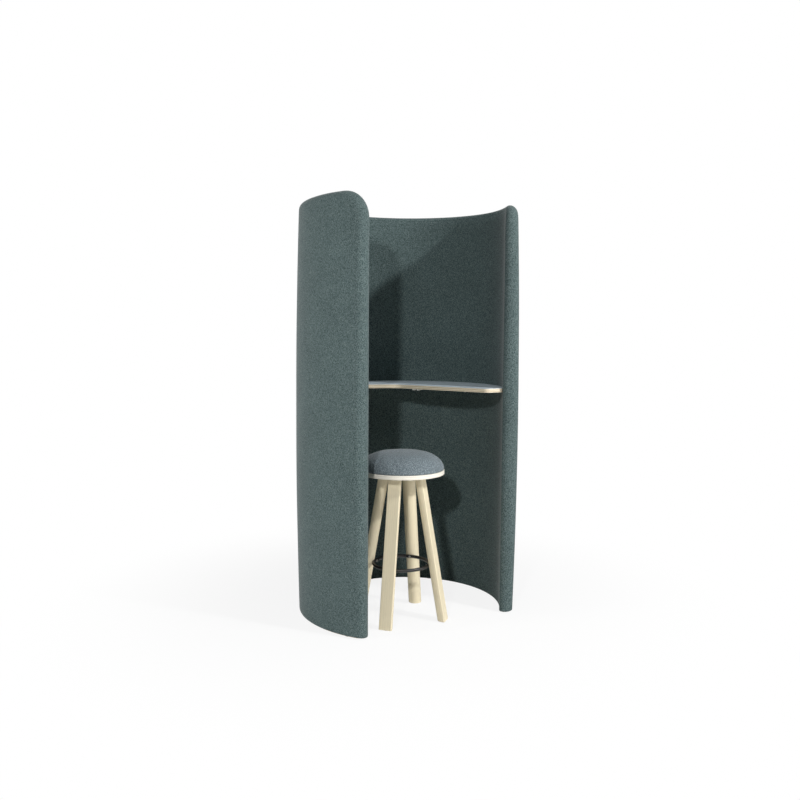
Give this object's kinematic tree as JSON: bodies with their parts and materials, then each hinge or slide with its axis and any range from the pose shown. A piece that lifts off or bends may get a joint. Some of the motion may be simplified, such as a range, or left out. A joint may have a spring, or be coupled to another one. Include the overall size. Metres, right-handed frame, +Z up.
{
  "type": "acoustic workstation",
  "caption": "Round upholstered acoustic screen on end, open at the front, with a standing-height worktop fixed inside and a loose bar stool.",
  "frame": {"origin": "on the floor, under the middle of the overall box", "axes": "+Z up, the opening between the wings faces -Y, +X to the right of someone looking in along +Y"},
  "size_m": [1.039, 0.8427, 1.894],
  "materials": {
    "wall_fabric": "grey-green melange woven wool over foam",
    "seat_fabric": "blue-grey melange woven wool over foam",
    "frame_plywood": "unfinished plywood",
    "frame_timber": "unfinished softwood",
    "birch_plywood": "clear matt lacquer, plies showing on the edge",
    "worktop_linoleum": "matt blue-grey surface",
    "ash_timber": "pale ash, clear matt lacquer",
    "black_steel": "satin black powder coat",
    "zinc_steel": "zinc plated",
    "hanger_metal": "satin aluminium",
    "glide_plastic": "moulded nylon"
  },
  "bodies": {
    "wall": {"left_wall_cover": "wall_fabric", "left_inner_skin": "frame_plywood", "left_outer_skin": "frame_plywood", "left_base_rib": "frame_plywood", "left_end_post": "frame_timber", "left_top_rail": "frame_timber", "left_back_post": "frame_timber", "left_ribs": "frame_plywood", "left_table_rail": "frame_plywood", "left_glides": "glide_plastic", "right_wall_cover": "wall_fabric", "right_inner_skin": "frame_plywood", "right_outer_skin": "frame_plywood", "right_base_rib": "frame_plywood", "right_end_post": "frame_timber", "right_top_rail": "frame_timber", "right_back_post": "frame_timber", "right_ribs": "frame_plywood", "right_table_rail": "frame_plywood", "right_glides": "glide_plastic", "joint_hook_plates": "zinc_steel", "joint_catch_plates": "zinc_steel", "joint_screws": "zinc_steel", "worktop_board": "birch_plywood", "worktop_surface": "worktop_linoleum", "support_arm_1": "black_steel", "support_arm_2": "black_steel", "support_arm_3": "black_steel", "support_arm_4": "black_steel", "arm_bolts": "zinc_steel", "arm_nuts": "zinc_steel", "arm_screws": "zinc_steel", "peg_hanger": "hanger_metal", "hanger_screws": "zinc_steel"},
    "stool": {"seat_cushion": "seat_fabric", "cushion_base": "frame_plywood", "cushion_screws": "zinc_steel", "seat_disc": "birch_plywood", "leg_front_right": "ash_timber", "leg_back_right": "ash_timber", "leg_back_left": "ash_timber", "leg_front_left": "ash_timber", "leg_bolts": "zinc_steel", "footrest_ring": "black_steel", "ring_screws": "zinc_steel", "stool_glides": "glide_plastic"}
  },
  "joints": [
    {"name": "stool_slide", "type": "slide", "parent": "wall", "child": "stool", "axis": [0, -1, 0], "range_m": [0, 0.8]}
  ]
}
